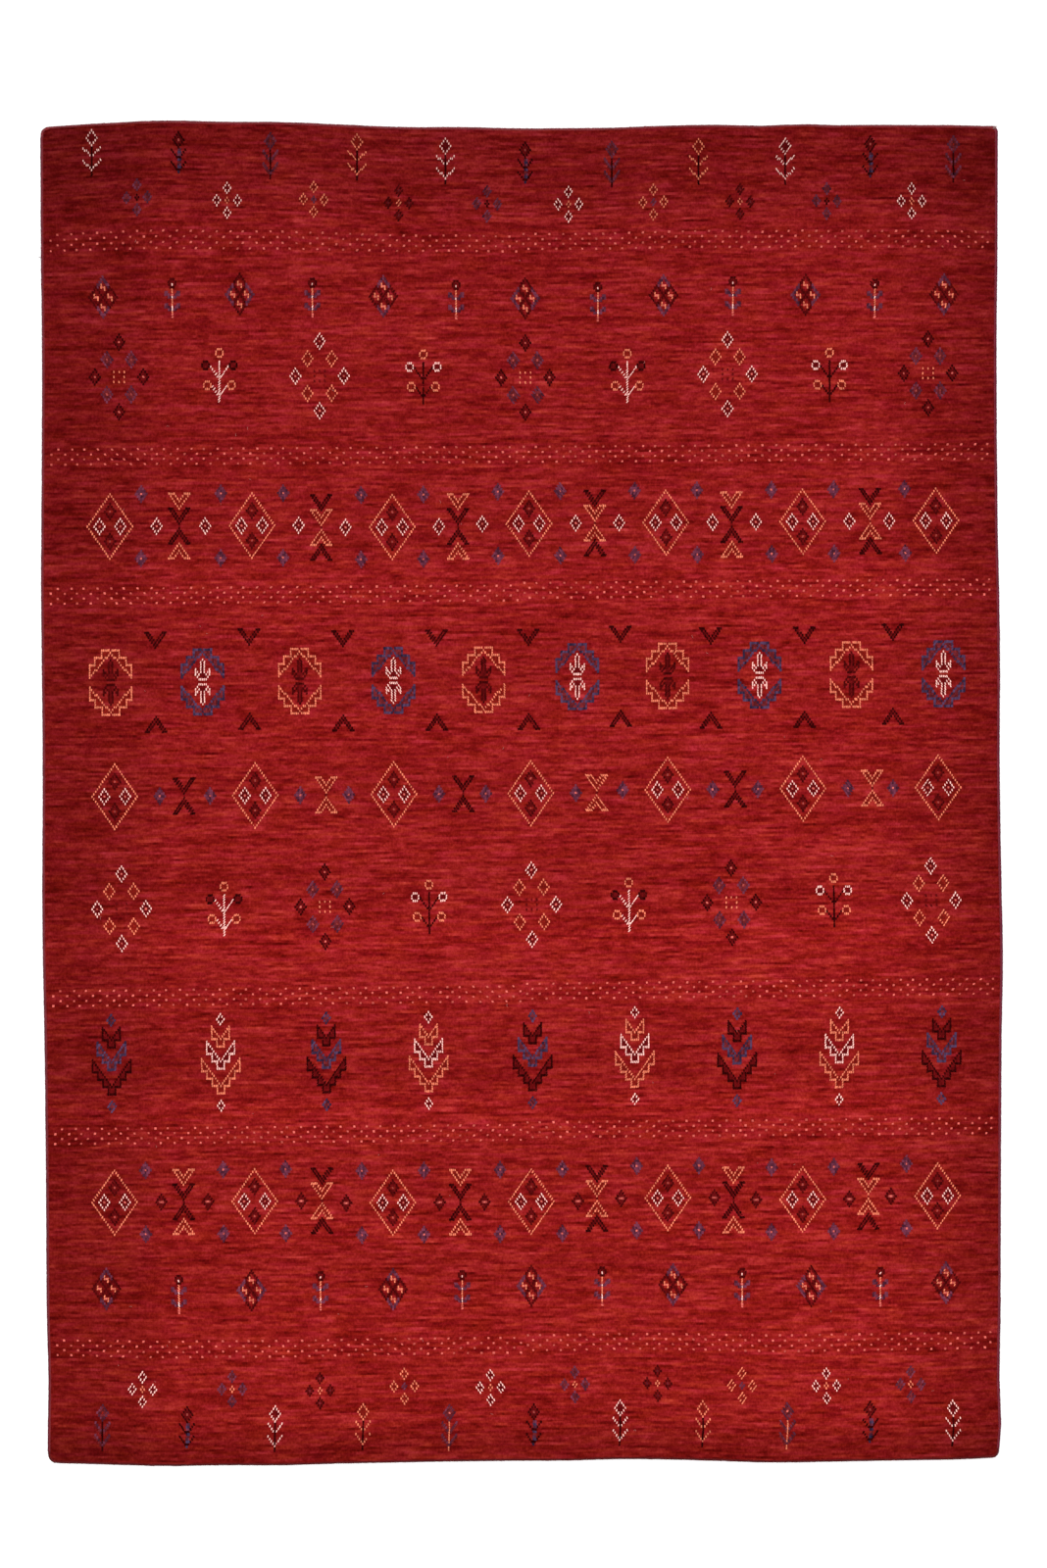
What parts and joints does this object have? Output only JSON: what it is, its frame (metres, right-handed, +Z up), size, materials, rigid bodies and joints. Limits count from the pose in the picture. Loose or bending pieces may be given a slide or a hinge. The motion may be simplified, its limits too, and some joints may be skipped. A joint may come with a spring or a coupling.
{
  "type": "hand-knotted oriental rug",
  "caption": "Flat hand-knotted wool rug with rows of small tribal motifs on a red field and a dark overcast cord round its uneven edge.",
  "frame": {"origin": "middle of the rug's outline, on the floor it lies on", "axes": "+X across the rug to the right, +Y along its length to the top of the pattern, +Z up out of the pile"},
  "size_m": [1.716, 2.402, 0.012],
  "materials": {
    "field_wool": "matte",
    "cord_wool": "matte"
  },
  "bodies": {
    "root": {"pile_field": "field_wool", "selvedge_left": "cord_wool", "selvedge_right": "cord_wool", "end_cord_bottom": "cord_wool", "end_cord_top": "cord_wool"}
  },
  "joints": []
}
